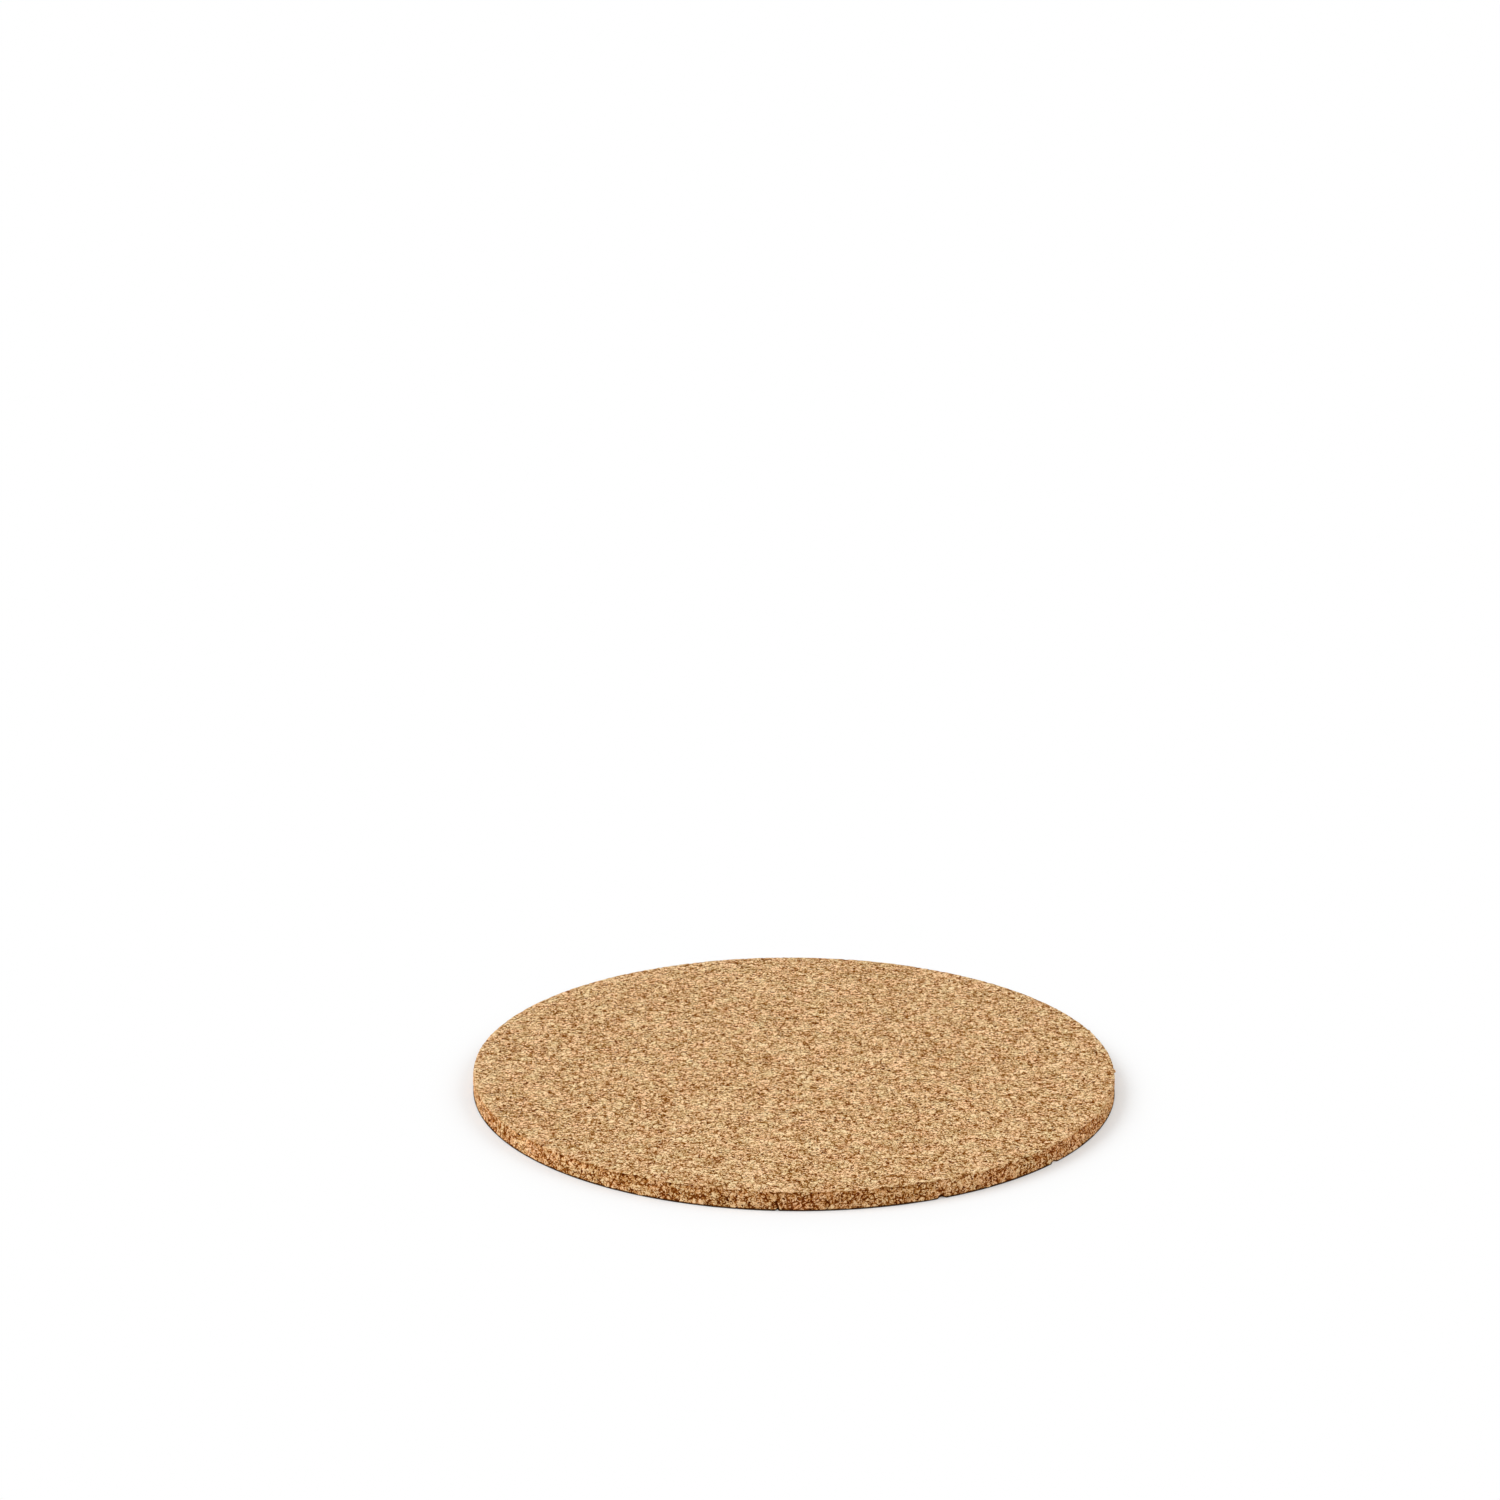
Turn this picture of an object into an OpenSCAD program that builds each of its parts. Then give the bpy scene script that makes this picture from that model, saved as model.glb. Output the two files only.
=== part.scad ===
// Round trivet: a plain disc cut from a sheet of pressed cork granules.
// The disc is one piece. It lies on a table and carries something hot on its sanded top.
// Millimetres, +Z up, origin at the centre of the underside.

/* [Disc] */
// Diameter across the cut wall
disc_d = 100; // [60:1:220]
// Thickness of the cork sheet
sheet_h = 3; // [2.5:0.1:12]

/* [Edges] */
// Radius that sanding leaves on the top edge
top_edge_r = 0.25; // [0.1:0.05:1]
// Radius that the cutting die leaves on the bottom edge
bottom_edge_r = 0.35; // [0.1:0.05:1]

/* [Hidden] */

// How far a cut runs past the surface that it cuts
overrun = 0.5;
// Steps around the disc and around each rounded edge
$fn = 240;

disc_r = disc_d / 2;

// Section of the waste outside a rounded corner: the corner's tip is at the origin,
// and the material that stays lies towards -X and -Y.
module corner_waste(edge_r) {
    difference() {
        translate([-edge_r, -edge_r]) square(edge_r + overrun);
        translate([-edge_r, -edge_r]) circle(edge_r);
    }
}

// Ring of waste that rounds the top edge
module top_edge_cut() {
    rotate_extrude()
        translate([disc_r, sheet_h]) corner_waste(top_edge_r);
}

// Ring of waste that rounds the bottom edge
module bottom_edge_cut() {
    rotate_extrude()
        translate([disc_r, 0]) mirror([0, 1]) corner_waste(bottom_edge_r);
}

// The disc, with a flat sanded top, a flat underside and an upright cut wall
module cork_disc() {
    color("burlywood")
        difference() {
            cylinder(r = disc_r, h = sheet_h);
            top_edge_cut();
            bottom_edge_cut();
        }
}

cork_disc();
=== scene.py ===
from collections import namedtuple
import math

import bpy
import numpy as np
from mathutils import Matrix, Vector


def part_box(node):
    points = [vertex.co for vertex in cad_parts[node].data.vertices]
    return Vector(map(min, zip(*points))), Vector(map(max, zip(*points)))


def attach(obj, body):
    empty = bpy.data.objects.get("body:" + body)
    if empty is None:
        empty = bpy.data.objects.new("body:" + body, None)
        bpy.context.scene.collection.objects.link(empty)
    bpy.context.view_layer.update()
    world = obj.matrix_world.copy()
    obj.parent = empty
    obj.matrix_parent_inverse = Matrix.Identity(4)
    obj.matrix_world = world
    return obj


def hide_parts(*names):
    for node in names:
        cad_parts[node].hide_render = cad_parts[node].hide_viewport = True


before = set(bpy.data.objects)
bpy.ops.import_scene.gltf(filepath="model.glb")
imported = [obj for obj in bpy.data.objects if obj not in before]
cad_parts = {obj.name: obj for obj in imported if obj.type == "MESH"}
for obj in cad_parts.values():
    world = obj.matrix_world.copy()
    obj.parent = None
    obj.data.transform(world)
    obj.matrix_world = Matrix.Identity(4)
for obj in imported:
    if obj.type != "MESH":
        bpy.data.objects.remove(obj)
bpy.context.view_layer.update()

MM = 0.001
FULL_TURN = 2 * math.pi
HALF_TURN = FULL_TURN / 2
QUARTER_TURN = FULL_TURN / 4
EIGHTH_TURN = FULL_TURN / 8
HALF = 1 / 2
AXES = 3

# The disc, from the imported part
NODE = "cork_disc"
BODY = "root"
PIECE = "pressed_cork"
low_corner, high_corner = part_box(NODE)
DISC_R = (high_corner[0] - low_corner[0]) / 2
SHEET_H = high_corner[2] - low_corner[2]

# Its edges, and the ring along the rim of the underside that stands clear of the table
TOP_EDGE_R = 0.18 * MM
BOTTOM_EDGE_R = 0.15 * MM
RIM_LIFT = 0.02 * MM
LIFT_WIDTH = 1.2 * MM

# Fineness of the mesh: cells across each face, rows down the wall and round each edge,
# and the power that holds the wall's look back round the top edge
FACE_CELLS = 440
GRID_SIDES = 4
RIM_POINTS = GRID_SIDES * FACE_CELLS
WALL_ROWS = 16
EDGE_ROWS = 4
WALL_ONSET = 3
TRIANGLES_A_CELL = 2
MOST_TRIANGLES = 190000

# Names of what the mesh stores for the relief and the material: a place, and five numbers
REST = "rest_place"
WALL = "wall_share"
EDGE = "edge_share"
FLAW = "flaw_depth"
BASE = "base_share"
RAW = "raw_share"
SHARES = (WALL, EDGE, FLAW, RAW, BASE)

# Granules of two sizes, flattened by the press, and how far the seams between them wander
COARSE_SIZE = 0.90 * MM
FINE_SIZE = 0.52 * MM
FINE_SHARE = 0.5
FLATTENING = 1.2
WANDER_SIZE = 0.6 * MM
WANDER = 0.50 * MM

# Which of a granule's three random numbers sets its hue, its tone and its height
OWN_HUE = 0
OWN_TONE = 1
OWN_HEIGHT = 2

# Seams between granules, from tight to open, and the patches in which they stand open
PATCH_SIZE = 0.80 * MM
PATCH_FROM = 0.47
PATCH_TO = 0.60
WALL_PATCH_SHIFT = 0.03
TIGHT_SEAM = 0.045 * MM
OPEN_SEAM = 0.125 * MM
# How far out the painted highlight beside an open seam reaches, in seam widths
SEAM_HIGHLIGHT_REACH = 2.2

# Grain within the granules: its size, and how far it and each granule's own tone shift the tone
FACE_GRAIN_SIZE = 0.33 * MM
WALL_GRAIN_SIZE = 0.26 * MM
GRAIN_DETAIL = 1.0
GRAIN_TWIST = 1.0
FACE_GRAIN_GAIN = 4.4
WALL_GRAIN_GAIN = 4.8
GRANULE_GAIN = 0.42
FACE_TONE_MIDDLE = 0.72
WALL_TONE_MIDDLE = 0.735

# Voids that the press left in the sheet, as ragged hollows that the surface cuts through
VOID_SPACING = 1.00 * MM
VOID_SMALL_R = 0.11 * MM
VOID_LARGE_R = 0.33 * MM
VOID_RIM = 0.06 * MM
VOID_RAGGED = 0.55 * MM
WALL_VOID_GAIN = 0.7
VOID_DEPTH_SHARE = 0.75

# Relief: steps between granules on the sanded faces and on the cut wall, seams, waves and chips,
# and the bump that the material adds, whose heights are in metres
FACE_STEP = 0.035 * MM
WALL_STEP = 0.16 * MM
FACE_SEAM_DEPTH = 0.07 * MM
WALL_SEAM_DEPTH = 0.18 * MM
WAVE_SIZE = 7.0 * MM
WAVE = 0.20 * MM
CHIP_SIZE = 1.2 * MM
CHIP = 0.32 * MM
CHIP_FROM = 0.50
CHIP_TO = 0.60
CHIP_REACH = 0.6 * MM
CHIP_DROP = 0.3 * MM
FACE_GRAIN_DEPTH = 0.06 * MM
WALL_GRAIN_DEPTH = 0.14 * MM
FINE_RELIEF_SIZE = 0.16 * MM
FINE_RELIEF = 0.025 * MM
BUMP_DISTANCE = 1.0
BUMP_STRENGTH = 0.4

# Single flaws in the rim: a crack, two chips in the bottom edge, and two granules that stand out
Flaw = namedtuple("Flaw", "angle height half_width half_height depth sway")
FLAWS = (
    Flaw(math.radians(266.5), 1.0 * MM, 0.16 * MM, 1.20 * MM, 0.50 * MM, 0.16 * MM),
    Flaw(math.radians(294.0), 0.1 * MM, 0.40 * MM, 0.35 * MM, 0.50 * MM, 0.0),
    Flaw(math.radians(318.7), 0.1 * MM, 0.40 * MM, 0.35 * MM, 0.50 * MM, 0.0),
    Flaw(math.radians(16.3), 2.7 * MM, 0.28 * MM, 0.35 * MM, -0.35 * MM, 0.0),
    Flaw(math.radians(356.0), 2.6 * MM, 0.28 * MM, 0.35 * MM, -0.30 * MM, 0.0),
)
SWAY_LENGTH = 1.5 * MM
# How deep a flaw is where its painted shade is full
FLAW_SHADE_DEPTH = 0.45 * MM

# The raw patch of torn granules beside the crack, and the power that squares its outline
RAW_ANGLE = math.radians(269.6)
RAW_HEIGHT = 0.9 * MM
RAW_HALF_WIDTH = 2.3 * MM
RAW_HALF_HEIGHT = 1.1 * MM
RAW_SQUARENESS = 4
RAW_PATCH_SHIFT = 0.05
RAW_TINT = (1.03, 0.94, 0.97)

# The painted contact shadow, a dark line along the bottom edge: how far it reaches up the wall,
# and the shares of it between which the dark sets in
CONTACT_SHADOW_REACH = 0.39 * MM
CONTACT_SHADOW_FROM = 0.20
CONTACT_SHADOW_TO = 0.42
CONTACT_SHADOW_COVER = 0.96

# Tones of the granules, from bark to the palest cork, as linear colours:
# on the sanded faces and on the cut wall, whose browner, warmer tones are partly its own colour and partly
# painted shade
FACE_TONES = (
    (0.00, (0.110, 0.017, 0.000)),
    (0.15, (0.235, 0.076, 0.005)),
    (0.35, (0.440, 0.216, 0.058)),
    (0.50, (0.590, 0.347, 0.152)),
    (0.65, (0.730, 0.467, 0.240)),
    (0.85, (0.910, 0.633, 0.366)),
    (1.00, (1.000, 0.788, 0.500)),
)
WALL_TONES = (
    (0.00, (0.085, 0.009, 0.000)),
    (0.15, (0.212, 0.045, 0.001)),
    (0.35, (0.415, 0.153, 0.020)),
    (0.50, (0.570, 0.263, 0.075)),
    (0.65, (0.725, 0.387, 0.152)),
    (0.85, (0.920, 0.563, 0.284)),
    (1.00, (1.000, 0.716, 0.425)),
)
# Colour of the painted contact shadow along the bottom edge
CONTACT_SHADOW_COLOUR = (0.035, 0.011, 0.001)

# How far seams darken the tone, how far painted shade darkens voids, flaws and chips, and how far rims pale
# it: painted highlights beside open seams, and rubbed wear along the edges with a painted highlight on the
# top one
TIGHT_COVER = 0.40
OPEN_COVER = 0.95
VOID_SHADE_COVER = 0.95
FLAW_SHADE_COVER = 0.85
CHIP_SHADE_COVER = 0.35
WEAR_AND_HIGHLIGHT_TONE = 0.90
SEAM_HIGHLIGHT_COVER = 0.25

# Slight shifts of hue between granules and across the sheet
RED_TINT = (1.02, 0.98, 0.94)
OLIVE_TINT = (0.99, 1.00, 1.00)
PLAIN_TINT = (1.0, 1.0, 1.0)
CLOUD_SIZE = 5.0 * MM
CLOUD_GAIN = 0.40
HUE_SIZE = 3.0 * MM
PINK_HUE = (1.040, 0.973, 0.975)
GREEN_HUE = (0.962, 1.016, 0.980)

# Finish of the bare cork
ROUGH_LEAST = 0.82
ROUGH_MOST = 0.96
SPECULAR = 0.06

# The span that most of a noise lies in, its middle, and how much finer noise a plain one holds
NOISE_LOW = 0.25
NOISE_HIGH = 0.75
NOISE_MIDDLE = 0.5
NOISE_CENTRE = (NOISE_MIDDLE,) * AXES
NOISE_DETAIL = 2.0

# Where the mix nodes have their share, their two values and, for numbers and vectors, their result
NUMBER_SOCKETS = (0, 2, 3, 0)
VECTOR_SOCKETS = (0, 4, 5, 1)
SHADER_SOCKETS = (0, 1, 2)

# Flat layout of the surface for baking, in shares of the square map: the top face, the underside,
# and the wall cut into strips that lie in two rows of four in the free corners
BAKE_MAP = "OFBake"
TOP_MIDDLE = 0.35
TOP_SHARE = 0.34
UNDER_MIDDLE = 0.76
UNDER_SHARE = 0.23
FREE_CORNERS = 2
STRIPS_A_CORNER = 4
STRIPS = FREE_CORNERS * STRIPS_A_CORNER
STRIP_MIDDLE = 0.803
STRIP_SHARE = 0.355
STRIP_PITCH = 0.035
STRIP_START = 0.005

# The floor's half width, its tone, which the warm surround makes neutral, and the white beyond:
# how far inside the rim the fade to it starts, and how far outside it ends
FLOOR_HALF = 40.0
FLOOR_TONE = (0.950, 0.970, 0.988)
WHITE = (1.0, 1.0, 1.0)
WHITE_STRENGTH = 1.0
OPAQUE = 1.0
FADE_INSIDE = 6.0 * MM
FADE_OUTSIDE = 10.0 * MM
FADE_FROM = DISC_R - FADE_INSIDE
FADE_TO = DISC_R + FADE_OUTSIDE

# Studio light: an even, slightly warm surround, and a wide soft lamp from each side,
# the left one brighter
SKY_LIGHT = (0.415, 0.390, 0.348)
LAMP_COLOUR = (0.985, 1.0, 1.04)
Lamp = namedtuple("Lamp", "name strength width tilt turn")
LAMPS = (
    Lamp("key", 1.94, math.radians(40), math.radians(48), math.radians(-84)),
    Lamp("fill", 0.92, math.radians(40), math.radians(50), math.radians(90)),
)

# Camera, fitted to the disc's outline in the photograph
SENSOR_WIDTH_MM = 36.0
LENS_MM = 68.4
NEAREST = 0.01
CAMERA_PLACE = (-6.81 * MM, -418.5 * MM, 165.0 * MM)
CAMERA_TILT = math.radians(75.08)


class Graph:
    """Adds nodes to a shader tree or a geometry tree, which share their maths and textures."""

    def __init__(self, tree):
        self.tree = tree

    def feed(self, socket, value):
        if isinstance(value, bpy.types.NodeSocket):
            self.tree.links.new(value, socket)
        else:
            socket.default_value = value

    def add(self, kind, inputs=None, **settings):
        made = self.tree.nodes.new(kind)
        for name, value in settings.items():
            setattr(made, name, value)
        for key, value in (inputs or {}).items():
            self.feed(made.inputs[key], value)
        return made

    def maths(self, operation, *values):
        made = self.add("ShaderNodeMath", operation=operation)
        for socket, value in zip(made.inputs, values):
            self.feed(socket, value)
        return made.outputs[0]

    def total(self, first, *others):
        for other in others:
            first = self.maths("ADD", first, other)
        return first

    def product(self, first, *others):
        for other in others:
            first = self.maths("MULTIPLY", first, other)
        return first

    def vector(self, operation, *values):
        made = self.add("ShaderNodeVectorMath", operation=operation)
        for socket, value in zip(made.inputs, values):
            self.feed(socket, value)
        return made.outputs["Vector"]

    def scaled(self, vector, factor):
        inputs = {"Vector": vector, "Scale": factor}
        return self.add("ShaderNodeVectorMath", inputs, operation="SCALE").outputs["Vector"]

    def parts(self, vector):
        return self.add("ShaderNodeSeparateXYZ", {0: vector}).outputs

    def ramp(self, value, start, end, low=0.0, high=1.0):
        """Eases from low to high as value goes from start to end."""
        inputs = {"Value": value, "From Min": start, "From Max": end, "To Min": low, "To Max": high}
        return self.add("ShaderNodeMapRange", inputs, interpolation_type="SMOOTHSTEP").outputs["Result"]

    def mix(self, kind, sockets, share, first, second):
        share_in, first_in, second_in, result = sockets
        inputs = {share_in: share, first_in: first, second_in: second}
        return self.add("ShaderNodeMix", inputs, data_type=kind).outputs[result]

    def blend(self, share, first, second):
        """Goes from the first number to the second as share goes from 0 to 1."""
        return self.mix("FLOAT", NUMBER_SOCKETS, share, first, second)

    def blend_vectors(self, share, first, second):
        return self.mix("VECTOR", VECTOR_SOCKETS, share, first, second)

    def blend_shaders(self, share, first, second):
        share_in, first_in, second_in = SHADER_SOCKETS
        inputs = {share_in: share, first_in: first, second_in: second}
        return self.add("ShaderNodeMixShader", inputs).outputs[0]

    def noise(self, place, size, detail=NOISE_DETAIL, twist=0.0, result="Fac"):
        inputs = {"Vector": place, "Scale": 1 / size, "Detail": detail, "Distortion": twist}
        return self.add("ShaderNodeTexNoise", inputs).outputs[result]

    def cells(self, place, size, feature="F1"):
        inputs = {"Vector": place, "Scale": 1 / size}
        return self.add("ShaderNodeTexVoronoi", inputs, feature=feature).outputs

    def clamped(self, value):
        return self.add("ShaderNodeClamp", {"Value": value}).outputs[0]

    def without(self, value, share):
        """The value, less a share of it from 0 to 1."""
        return self.product(value, self.maths("SUBTRACT", 1.0, share))

    def tones(self, value, stops):
        made = self.add("ShaderNodeValToRGB", {0: value})
        elements = made.color_ramp.elements
        while len(elements) < len(stops):
            elements.new(stops[-1][0])
        for element, (position, colour) in zip(elements, stops):
            element.position = position
            element.color = (*colour, OPAQUE)
        return made.outputs["Color"]

    def seen(self):
        """1 for what the camera sees, also in a mirror or glass, and 0 for the light on things."""
        path = self.add("ShaderNodeLightPath").outputs
        straight = self.maths("MAXIMUM", path["Is Camera Ray"], path["Is Glossy Ray"])
        return self.maths("MAXIMUM", straight, path["Is Transmission Ray"])


def wandering(graph, place):
    """The place, moved about so that what is drawn there has uneven outlines."""
    stray = graph.noise(place, WANDER_SIZE, result="Color")
    stray = graph.vector("SUBTRACT", stray, NOISE_CENTRE)
    moved = graph.vector("ADD", place, graph.scaled(stray, WANDER))
    return graph.vector("MULTIPLY", moved, (1.0, 1.0, FLATTENING))


def granules(graph, spot):
    """Pressed granules of two sizes: three random numbers for each, and the distance to its edge."""
    coarse = graph.cells(spot, COARSE_SIZE)["Color"]
    fine = graph.cells(spot, FINE_SIZE)["Color"]
    coarse_edge = graph.cells(spot, COARSE_SIZE, "DISTANCE_TO_EDGE")["Distance"]
    fine_edge = graph.cells(spot, FINE_SIZE, "DISTANCE_TO_EDGE")["Distance"]
    coarse_edge = graph.product(coarse_edge, COARSE_SIZE)
    fine_edge = graph.product(fine_edge, FINE_SIZE)
    is_fine = graph.maths("LESS_THAN", graph.parts(coarse)[0], FINE_SHARE)
    kind = graph.blend_vectors(is_fine, coarse, fine)
    edge = graph.blend(is_fine, coarse_edge, graph.maths("MINIMUM", coarse_edge, fine_edge))
    return graph.parts(kind), edge


def grain_noise(graph, spot, wall):
    """Crumbs and crevices within the granules, from low to high."""
    face_grain = graph.noise(spot, FACE_GRAIN_SIZE, GRAIN_DETAIL, GRAIN_TWIST)
    wall_grain = graph.noise(spot, WALL_GRAIN_SIZE, GRAIN_DETAIL, GRAIN_TWIST)
    return graph.blend(wall, face_grain, wall_grain)


def seams(graph, place, edge, wall, raw):
    """How dark a seam between granules is, how pale the rims beside it are with a painted highlight, and
    how open it is.
    """
    patches = graph.total(
        graph.noise(place, PATCH_SIZE),
        graph.product(wall, WALL_PATCH_SHIFT),
        graph.product(raw, RAW_PATCH_SHIFT),
    )
    opened = graph.ramp(patches, PATCH_FROM, PATCH_TO)
    width = graph.blend(opened, TIGHT_SEAM, OPEN_SEAM)
    seam = graph.ramp(edge, 0.0, width, 1.0, 0.0)
    rim = graph.ramp(edge, width, graph.product(width, SEAM_HIGHLIGHT_REACH), 1.0, 0.0)
    return seam, graph.product(rim, opened), opened


def voids(graph, spot, wall, grain):
    """How deep a place lies inside a void with a ragged outline, in metres, and 0 outside."""
    cell = graph.cells(spot, VOID_SPACING)
    ragged = graph.product(graph.maths("SUBTRACT", grain, NOISE_MIDDLE), VOID_RAGGED)
    away = graph.total(graph.product(cell["Distance"], VOID_SPACING), ragged)
    chance = graph.parts(cell["Color"])[0]
    radius = graph.blend(graph.product(chance, chance), VOID_SMALL_R, VOID_LARGE_R)
    radius = graph.product(radius, graph.blend(wall, 1.0, WALL_VOID_GAIN))
    return graph.maths("MAXIMUM", graph.maths("SUBTRACT", radius, away), 0.0)


def chips(graph, place, edge_share, wall):
    """How much of the wall's edge has crumbled away at a place, from 0 to 1."""
    return graph.product(graph.ramp(graph.noise(place, CHIP_SIZE), CHIP_FROM, CHIP_TO), edge_share, wall)


def relief(graph, place, wall, edge_share, flaw, raw, base):
    """How far the surface stands out at a place, in metres: negative below the plain disc."""
    spot = wandering(graph, place)
    kind, edge = granules(graph, spot)
    seam, _, opened = seams(graph, place, edge, wall, raw)
    below = graph.maths("SUBTRACT", kind[OWN_HEIGHT], 1.0)
    step = graph.product(below, graph.blend(wall, FACE_STEP, WALL_STEP))
    groove = graph.product(seam, opened, graph.blend(wall, FACE_SEAM_DEPTH, WALL_SEAM_DEPTH))
    grain = grain_noise(graph, spot, wall)
    void = graph.product(voids(graph, spot, wall, grain), VOID_DEPTH_SHARE)
    chip = graph.product(chips(graph, place, edge_share, wall), CHIP)
    hollow = graph.total(groove, void, chip)
    wave = graph.maths("SUBTRACT", graph.noise(place, WAVE_SIZE), NOISE_MIDDLE)
    wave = graph.product(wave, wall, WAVE)
    crumbs = graph.maths("SUBTRACT", grain, NOISE_HIGH)
    crumbs = graph.product(crumbs, graph.blend(wall, FACE_GRAIN_DEPTH, WALL_GRAIN_DEPTH))
    rough = graph.maths("SUBTRACT", graph.total(step, wave, crumbs), hollow)
    rough = graph.product(rough, graph.ramp(base, 0.0, CONTACT_SHADOW_TO, 1.0, 0.0))
    return graph.maths("SUBTRACT", rough, flaw)


def relief_tree():
    """Geometry nodes that press the granules, voids and chips into the plain disc."""
    tree = bpy.data.node_groups.new("granule_relief", "GeometryNodeTree")
    tree.interface.new_socket("Geometry", in_out="INPUT", socket_type="NodeSocketGeometry")
    tree.interface.new_socket("Geometry", in_out="OUTPUT", socket_type="NodeSocketGeometry")
    graph = Graph(tree)
    start = graph.add("NodeGroupInput").outputs[0]
    place = graph.add("GeometryNodeInputPosition").outputs[0]
    normal = graph.add("GeometryNodeInputNormal").outputs[0]
    shares = (stored(graph, name) for name in SHARES)
    offset = graph.scaled(normal, relief(graph, place, *shares))
    moved = graph.add("GeometryNodeSetPosition", {"Geometry": start, "Offset": offset}).outputs[0]
    graph.add("NodeGroupOutput", {0: moved})
    return tree


def stored(graph, name):
    """A number that the mesh keeps for each point, in a geometry tree."""
    return graph.add("GeometryNodeInputNamedAttribute", {"Name": name}, data_type="FLOAT").outputs[0]


def disc_grid():
    """Places in the unit disc, as square rows that bend into circles towards its rim."""
    line = np.linspace(-1, 1, FACE_CELLS + 1)
    across, along = np.meshgrid(line, line)
    sideways = np.abs(across) > np.abs(along)
    radius = np.where(sideways, across, along)
    other = np.where(sideways, along, across)
    turn = EIGHTH_TURN * np.divide(other, radius, out=np.zeros_like(other), where=radius != 0)
    angle = np.where(sideways, turn, QUARTER_TURN - turn)
    return np.stack([radius * np.cos(angle), radius * np.sin(angle)], axis=-1)


def rim_of(numbers):
    """The numbers round the border of a square grid, in order."""
    return np.concatenate([numbers[0, :-1], numbers[:-1, -1], numbers[-1, :0:-1], numbers[:0:-1, 0]])


def ring_quads(first, second):
    """Faces between two rings of as many points."""
    return np.stack([first, np.roll(first, -1), np.roll(second, -1), second], axis=-1)


def grid_quads(numbers):
    """Faces between the points of a square grid."""
    corners = [numbers[:-1, :-1], numbers[:-1, 1:], numbers[1:, 1:], numbers[1:, :-1]]
    return np.stack([corner.ravel() for corner in corners], axis=-1)


def wall_profile():
    """Radius, height and wall share of each ring from the top face down to the underside."""
    quarter = np.linspace(0, QUARTER_TURN, EDGE_ROWS + 1)
    top_r = DISC_R - TOP_EDGE_R * (1 - np.sin(quarter))
    top_z = SHEET_H - TOP_EDGE_R * (1 - np.cos(quarter))
    bottom_r = DISC_R - BOTTOM_EDGE_R * (1 - np.cos(quarter))
    bottom_z = RIM_LIFT + BOTTOM_EDGE_R * (1 - np.sin(quarter))
    wall_z = np.linspace(top_z[-1], bottom_z[0], WALL_ROWS + 1)[1:-1]
    radii = np.concatenate([top_r, np.full_like(wall_z, DISC_R), bottom_r])
    heights = np.concatenate([top_z, wall_z, bottom_z])
    walls = np.concatenate([np.sin(quarter) ** WALL_ONSET, np.ones_like(wall_z), np.cos(quarter)])
    return radii, heights, walls


def under_heights(places):
    """Heights on the underside, which rises from the table in a ring along its rim."""
    inward = DISC_R - BOTTOM_EDGE_R - np.hypot(places[..., 0], places[..., 1])
    share = np.clip(1 - inward / LIFT_WIDTH, 0, 1)
    return RIM_LIFT * share ** 2


def disc_points():
    """Points of the plain disc, on the top, the underside and the rings between, and their wall shares."""
    unit = disc_grid()
    rim = rim_of(unit)
    radii, heights, walls = wall_profile()
    top = np.dstack([unit * radii[0], np.full(unit.shape[:-1], heights[0])])
    under = np.dstack([unit * radii[-1], under_heights(unit * radii[-1])])
    flats = np.concatenate([top.reshape(-1, AXES), under.reshape(-1, AXES)])
    rings = [np.column_stack([rim * r, np.full(RIM_POINTS, z)]) for r, z in zip(radii[1:-1], heights[1:-1])]
    shares = np.concatenate([np.zeros(len(flats)), np.repeat(walls[1:-1], RIM_POINTS)])
    return np.concatenate([flats, *rings]), shares


def disc_faces(point_count):
    """Faces of the plain disc, by the numbers of its points."""
    side = FACE_CELLS + 1
    top = np.arange(side * side).reshape(side, side)
    under = top + top.size
    rings = np.arange(top.size + under.size, point_count).reshape(-1, RIM_POINTS)
    order = [rim_of(top), *rings, rim_of(under)]
    faces = [grid_quads(top), grid_quads(under)[:, ::-1]]
    faces += [ring_quads(lower, upper) for upper, lower in zip(order, order[1:])]
    return np.concatenate(faces)


def disc_mesh():
    """The plain disc as one closed mesh of small quads, with what the relief and the material read."""
    points, walls = disc_points()
    mesh = mesh_of(PIECE, points, disc_faces(len(points)))
    store(mesh, REST, "FLOAT_VECTOR", "vector", points)
    store(mesh, WALL, "FLOAT", "value", walls)
    store(mesh, EDGE, "FLOAT", "value", edge_shares(points))
    store(mesh, FLAW, "FLOAT", "value", flaw_depths(points))
    store(mesh, BASE, "FLOAT", "value", base_shares(points))
    store(mesh, RAW, "FLOAT", "value", raw_shares(points))
    return mesh


def inside_rim(points):
    """How far each point lies inside the rim, in metres."""
    return DISC_R - np.hypot(points[:, 0], points[:, 1])


def wrapped(turn):
    """The same turn, between minus and plus half a turn."""
    return (turn + HALF_TURN) % FULL_TURN - HALF_TURN


def base_shares(points):
    """1 along the bottom edge, falling to 0 within the reach of the painted contact shadow along it."""
    inward = inside_rim(points)
    return np.clip(1 - np.hypot(inward, points[:, 2]) / CONTACT_SHADOW_REACH, 0, 1)


def around_from(points, angle):
    """How far round the rim each point lies from an angle, in metres."""
    turn = np.arctan2(points[:, 1], points[:, 0]) - angle
    return wrapped(turn) * DISC_R


def raw_shares(points):
    """1 in the middle of the raw patch on the wall, falling to 0 round it."""
    inward = inside_rim(points)
    around = around_from(points, RAW_ANGLE) / RAW_HALF_WIDTH
    up = (points[:, 2] - RAW_HEIGHT) / RAW_HALF_HEIGHT
    square = around ** RAW_SQUARENESS + up ** RAW_SQUARENESS
    return np.exp(-square - (inward / RAW_HALF_HEIGHT) ** 2)


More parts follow.
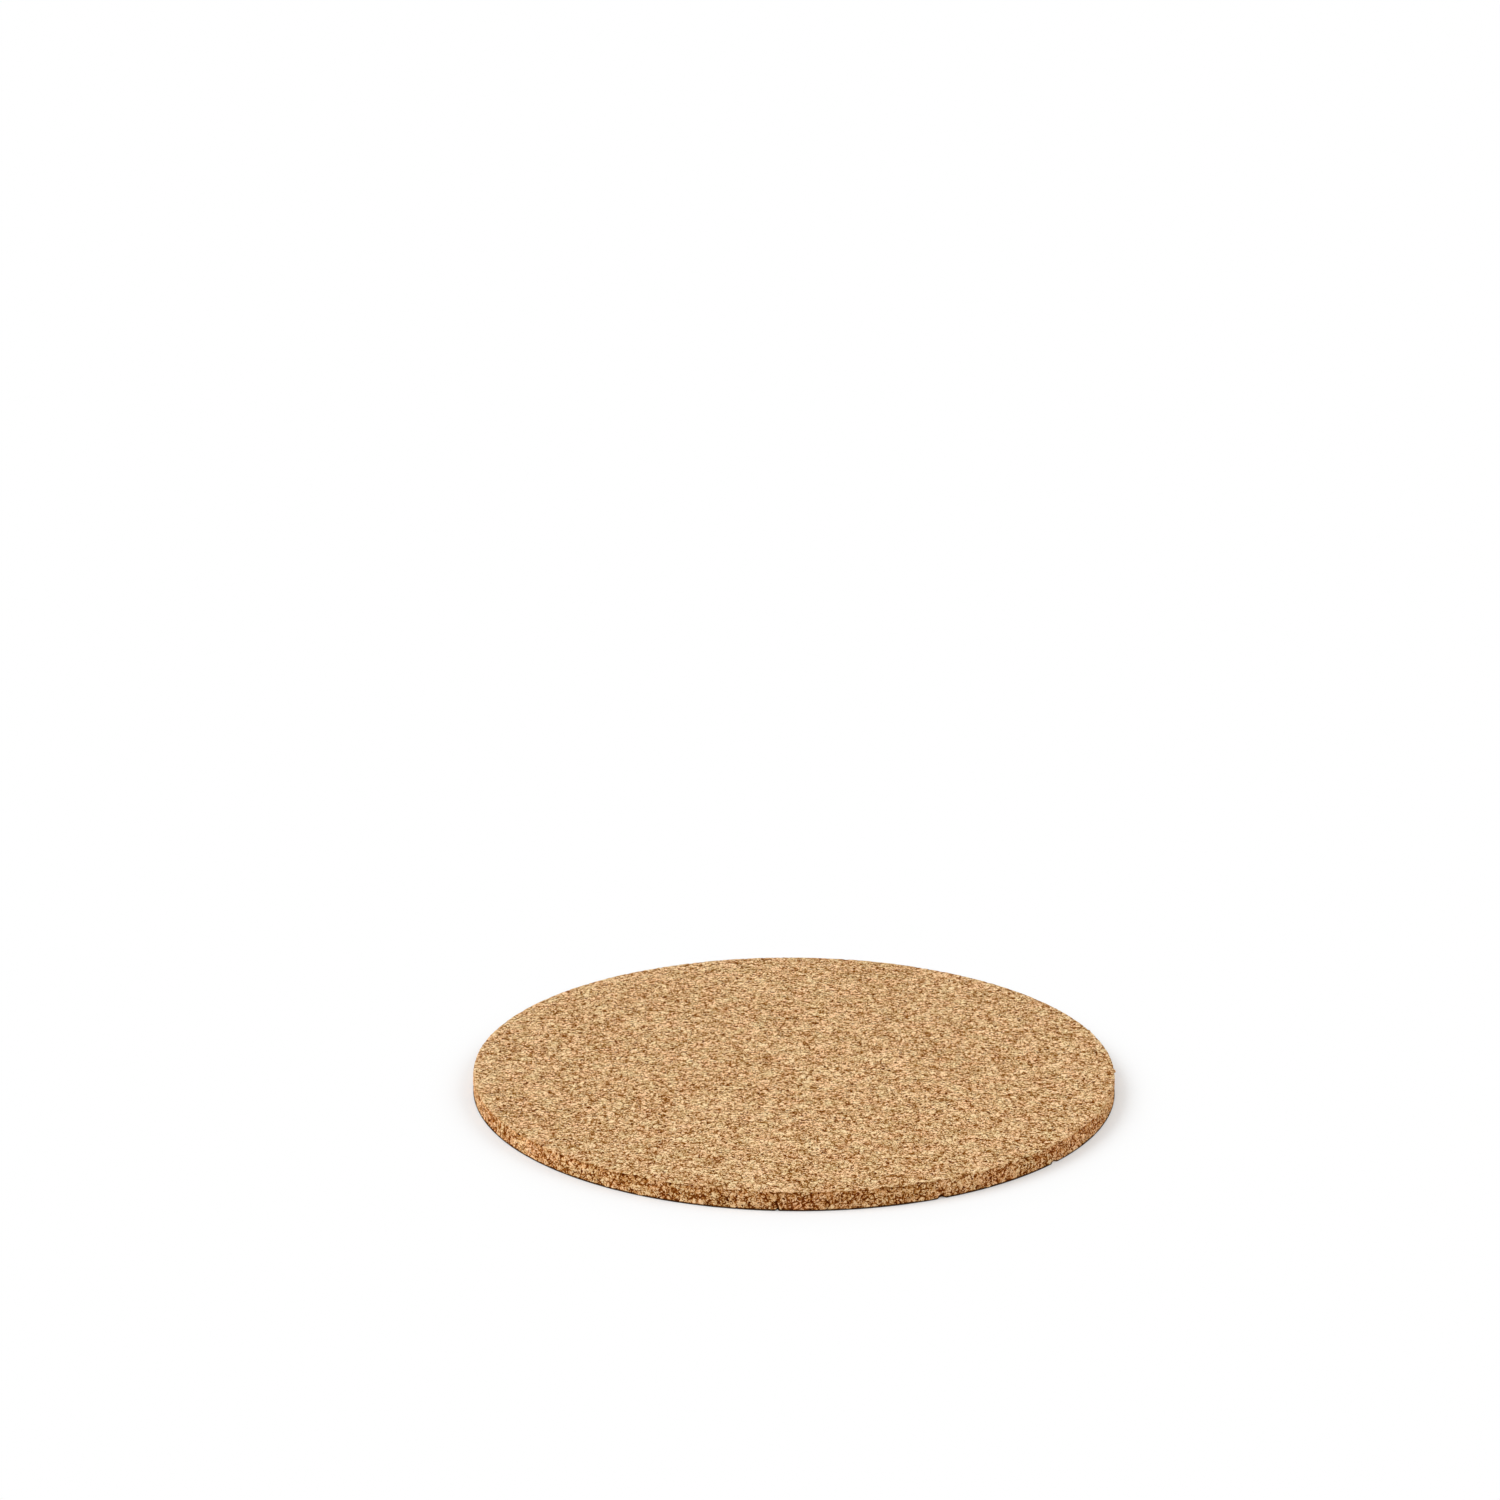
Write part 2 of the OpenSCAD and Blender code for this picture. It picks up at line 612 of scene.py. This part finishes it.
def edge_shares(points):
    """1 along the bottom edge and just under the top edge, falling to 0 within a chip's reach."""
    inward = inside_rim(points)
    from_top = np.hypot(inward, SHEET_H - CHIP_DROP - points[:, 2])
    from_bottom = np.hypot(inward, points[:, 2])
    away = np.minimum(from_top, from_bottom)
    return np.clip(1 - away / CHIP_REACH, 0, 1)


def flaw_depths(points):
    """How deep the single flaws in the rim are at each point, in metres."""
    inward = inside_rim(points)
    depth = np.zeros(len(points))
    for flaw in FLAWS:
        sway = flaw.sway * np.sin(FULL_TURN * points[:, 2] / SWAY_LENGTH)
        around = (around_from(points, flaw.angle) - sway) / flaw.half_width
        up = (points[:, 2] - flaw.height) / flaw.half_height
        depth += flaw.depth * np.exp(-around ** 2 - up ** 2 - (inward / flaw.half_height) ** 2)
    return depth


def mesh_of(name, points, faces):
    """A new smooth mesh of these points and faces."""
    mesh = bpy.data.meshes.new(name)
    mesh.vertices.add(len(points))
    mesh.loops.add(faces.size)
    mesh.polygons.add(len(faces))
    mesh.vertices.foreach_set("co", points.astype(np.float32).ravel())
    mesh.loops.foreach_set("vertex_index", faces.astype(np.int32).ravel())
    mesh.polygons.foreach_set("loop_start", np.arange(0, faces.size, faces.shape[1], dtype=np.int32))
    mesh.update(calc_edges=True)
    mesh.shade_smooth()
    return mesh


def store(mesh, name, kind, field, values):
    """Keeps a number or a vector for each point of a mesh."""
    layer = mesh.attributes.new(name, kind, "POINT")
    layer.data.foreach_set(field, values.astype(np.float32).ravel())


def read(items, field, kind, width=1):
    """The values of one field of a mesh's points, corners or faces, as an array."""
    values = np.empty(len(items) * width, kind)
    items.foreach_get(field, values)
    return values.reshape(-1, width) if width > 1 else values


def applied(piece):
    """Bakes a piece's modifiers into its mesh, and keeps its points between the two faces."""
    view = bpy.context.evaluated_depsgraph_get()
    mesh = bpy.data.meshes.new_from_object(piece.evaluated_get(view))
    piece.modifiers.clear()
    piece.data = mesh
    points = read(mesh.vertices, "co", np.float32, AXES)
    points[:, 2] = np.clip(points[:, 2], 0, SHEET_H)
    mesh.vertices.foreach_set("co", points.ravel())
    mesh.update()


def bake_map(mesh):
    """Lays the surface out flat: a disc for each face, and the wall in strips."""
    counts = read(mesh.polygons, "loop_total", np.int32)
    starts = read(mesh.polygons, "loop_start", np.int32)
    corners = read(mesh.loops, "vertex_index", np.int32)
    places = read(mesh.attributes[REST].data, "vector", np.float32, AXES)[corners]
    middles = np.add.reduceat(places, starts, axis=0) / counts[:, None]
    middles = np.repeat(middles, counts, axis=0)
    inward = inside_rim(middles)
    up = middles[:, 2]
    down = SHEET_H - up
    on_top = down < np.minimum(inward, up)
    under = up < np.minimum(inward, down)

    flat = wall_strips(places, middles)
    flat[under] = UNDER_MIDDLE + places[under, :2] / DISC_R * UNDER_SHARE
    flat[on_top] = TOP_MIDDLE + places[on_top, :2] / DISC_R * TOP_SHARE
    layer = mesh.uv_layers.new(name=BAKE_MAP)
    layer.data.foreach_set("uv", flat.astype(np.float32).ravel())


def wall_strips(places, middles):
    """Places of the wall's corners in the flat layout, in the strip that holds their face's middle."""
    strip = np.floor(np.arctan2(middles[:, 1], middles[:, 0]) % FULL_TURN / FULL_TURN * STRIPS)
    turn = np.arctan2(places[:, 1], places[:, 0]) - (strip + HALF) * FULL_TURN / STRIPS
    turn = wrapped(turn)
    length = FULL_TURN * DISC_R / STRIPS
    along = STRIP_MIDDLE + turn * DISC_R / length * STRIP_SHARE
    across = STRIP_START + strip % STRIPS_A_CORNER * STRIP_PITCH + places[:, 2] / length * STRIP_SHARE
    first_corner = strip < STRIPS_A_CORNER
    return np.column_stack([np.where(first_corner, along, across), np.where(first_corner, across, along)])


def grain_tone(graph, grain, kind, wall, cloud):
    """How pale the grain in each granule is, from 0 for bark to 1 for the palest cork."""
    gain = graph.blend(wall, FACE_GRAIN_GAIN, WALL_GRAIN_GAIN)
    grain = graph.product(graph.maths("SUBTRACT", grain, NOISE_MIDDLE), gain)
    own = graph.product(graph.maths("SUBTRACT", kind[OWN_TONE], NOISE_MIDDLE), GRANULE_GAIN)
    middle = graph.blend(wall, FACE_TONE_MIDDLE, WALL_TONE_MIDDLE)
    shade = graph.product(graph.maths("SUBTRACT", cloud, NOISE_MIDDLE), CLOUD_GAIN)
    return graph.clamped(graph.total(grain, own, shade, middle))


def cork_colour(graph, place, tone, kind, wall, raw):
    """The colour of a tone, which is warmer and browner on the cut wall: partly its own colour, partly
    painted shade.
    """
    colour = graph.blend_vectors(wall, graph.tones(tone, FACE_TONES), graph.tones(tone, WALL_TONES))
    tint = graph.blend_vectors(kind[OWN_HUE], RED_TINT, OLIVE_TINT)
    colour = graph.vector("MULTIPLY", colour, tint)
    hue = graph.ramp(graph.noise(place, HUE_SIZE), NOISE_LOW, NOISE_HIGH)
    colour = graph.vector("MULTIPLY", colour, graph.blend_vectors(hue, PINK_HUE, GREEN_HUE))
    return graph.vector("MULTIPLY", colour, graph.blend_vectors(raw, PLAIN_TINT, RAW_TINT))


def cork_bump(graph, fine, grain, kind, cover):
    """Bump for the relief that is finer than the mesh."""
    height = graph.total(
        graph.product(fine, FINE_RELIEF),
        graph.product(grain, FACE_GRAIN_DEPTH),
        graph.product(kind[OWN_HEIGHT], FACE_STEP),
        graph.product(cover, -FACE_SEAM_DEPTH),
    )
    inputs = {"Height": height, "Distance": BUMP_DISTANCE, "Strength": BUMP_STRENGTH}
    return graph.add("ShaderNodeBump", inputs).outputs[0]


def emptied(owner):
    """The node tree of a material or a world, emptied for new nodes."""
    owner.use_nodes = True
    owner.node_tree.nodes.clear()
    return Graph(owner.node_tree)


def shown(graph, name, result="Fac"):
    """A number or a vector that the mesh keeps for each point, in a shader tree."""
    return graph.add("ShaderNodeAttribute", attribute_name=name).outputs[result]


def cork_material():
    """Pressed cork: its grain, granules, seams, voids and flaws, in colour, roughness and bump, with
    painted shade and highlights in its colour.
    """
    material = bpy.data.materials.new("cork_pressed")
    graph = emptied(material)
    place = shown(graph, REST, "Vector")
    wall, edge_share, flaw, raw, base = (shown(graph, name) for name in SHARES)
    spot = wandering(graph, place)
    kind, edge = granules(graph, spot)
    seam, rim, opened = seams(graph, place, edge, wall, raw)
    grain = grain_noise(graph, spot, wall)

    tone = grain_tone(graph, grain, kind, wall, graph.noise(place, CLOUD_SIZE))
    # Painted highlights on the granule rims beside open seams
    tone = graph.blend(graph.product(rim, SEAM_HIGHLIGHT_COVER), tone, WEAR_AND_HIGHLIGHT_TONE)
    # Paler near the top edge and the underside's rim: rubbed wear, and along the top edge also a painted
    # highlight
    tone = graph.blend(graph.without(edge_share, wall), tone, WEAR_AND_HIGHLIGHT_TONE)
    cover = graph.product(seam, graph.blend(opened, TIGHT_COVER, OPEN_COVER))
    tone = graph.without(tone, cover)
    # Painted shade in the crumbled chips, in the crack and the chips in the bottom edge, and in the voids
    tone = graph.without(tone, graph.product(chips(graph, place, edge_share, wall), CHIP_SHADE_COVER))
    tone = graph.without(tone, graph.ramp(flaw, 0.0, FLAW_SHADE_DEPTH, 0.0, FLAW_SHADE_COVER))
    tone = graph.without(tone, graph.ramp(voids(graph, spot, wall, grain), 0.0, VOID_RIM, 0.0, VOID_SHADE_COVER))
    colour = cork_colour(graph, place, tone, kind, wall, raw)
    # Painted contact shadow: a dark band on the lowest part of the wall, where it meets the table
    line = graph.ramp(base, CONTACT_SHADOW_FROM, CONTACT_SHADOW_TO, 0.0, CONTACT_SHADOW_COVER)
    colour = graph.blend_vectors(line, colour, CONTACT_SHADOW_COLOUR)

    fine = graph.noise(spot, FINE_RELIEF_SIZE)
    roughness = graph.ramp(fine, NOISE_LOW, NOISE_HIGH, ROUGH_LEAST, ROUGH_MOST)
    shader = graph.add("ShaderNodeBsdfPrincipled", {"Base Color": colour, "Roughness": roughness})
    graph.feed(shader.inputs["Normal"], cork_bump(graph, fine, grain, kind, cover))
    shader.inputs["Specular IOR Level"].default_value = SPECULAR
    graph.add("ShaderNodeOutputMaterial", {"Surface": shader.outputs[0]})
    return material


def put(name, data):
    """A new object in the scene."""
    made = bpy.data.objects.new(name, data)
    bpy.context.collection.objects.link(made)
    return made


def pressed_cork():
    """The disc with its granules pressed in, as one closed mesh."""
    piece = put(PIECE, disc_mesh())
    grains = piece.modifiers.new("grains", "NODES")
    grains.node_group = relief_tree()
    fewer = piece.modifiers.new("fewer", "DECIMATE")
    fewer.ratio = MOST_TRIANGLES / (TRIANGLES_A_CELL * len(piece.data.polygons))
    applied(piece)
    bake_map(piece.data)
    piece.data.materials.append(cork_material())
    return piece


def floor_material():
    """Pale paper that fades to plain white away from the disc."""
    material = bpy.data.materials.new("floor_paper")
    graph = emptied(material)
    place = graph.add("ShaderNodeTexCoord").outputs["Object"]
    away = graph.add("ShaderNodeVectorMath", {0: place}, operation="LENGTH").outputs["Value"]
    fade = graph.product(graph.ramp(away, FADE_FROM, FADE_TO), graph.seen())
    paper = graph.add("ShaderNodeBsdfDiffuse", {"Color": (*FLOOR_TONE, OPAQUE)}).outputs[0]
    glow = {"Color": (*WHITE, OPAQUE), "Strength": WHITE_STRENGTH}
    white = graph.add("ShaderNodeEmission", glow).outputs[0]
    graph.add("ShaderNodeOutputMaterial", {"Surface": graph.blend_shaders(fade, paper, white)})
    return material


def floor():
    """The wide pale floor that the disc lies on."""
    corners = [(x * FLOOR_HALF, y * FLOOR_HALF, 0.0) for x, y in ((-1, -1), (1, -1), (1, 1), (-1, 1))]
    mesh = bpy.data.meshes.new("floor")
    mesh.from_pydata(corners, [], [(0, 1, 2, 3)])
    mesh.materials.append(floor_material())
    piece = put("floor", mesh)


def lights():
    """The even surround, which the camera sees as white, and the lamps."""
    world = bpy.data.worlds.new("studio")
    bpy.context.scene.world = world
    graph = emptied(world)
    colour = graph.blend_vectors(graph.seen(), SKY_LIGHT, WHITE)
    sky = graph.add("ShaderNodeBackground", {"Color": colour, "Strength": WHITE_STRENGTH})
    graph.add("ShaderNodeOutputWorld", {"Surface": sky.outputs[0]})
    for lamp in LAMPS:
        sun = bpy.data.lights.new(lamp.name, "SUN")
        sun.energy = lamp.strength
        sun.color = LAMP_COLOUR
        sun.angle = lamp.width
        placed = put(lamp.name, sun)
        placed.rotation_euler = (lamp.tilt, 0.0, lamp.turn)


def camera():
    """The camera, at the photograph's viewing angle."""
    lens = bpy.data.cameras.new("camera")
    lens.sensor_width = SENSOR_WIDTH_MM
    lens.lens = LENS_MM
    lens.clip_start = NEAREST
    view = put("camera", lens)
    view.location = CAMERA_PLACE
    view.rotation_euler = (CAMERA_TILT, 0.0, 0.0)
    bpy.context.scene.camera = view


camera()
lights()
floor()
cork = pressed_cork()
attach(cork, BODY)
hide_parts(NODE)
bpy.context.scene.view_settings.view_transform = "Standard"
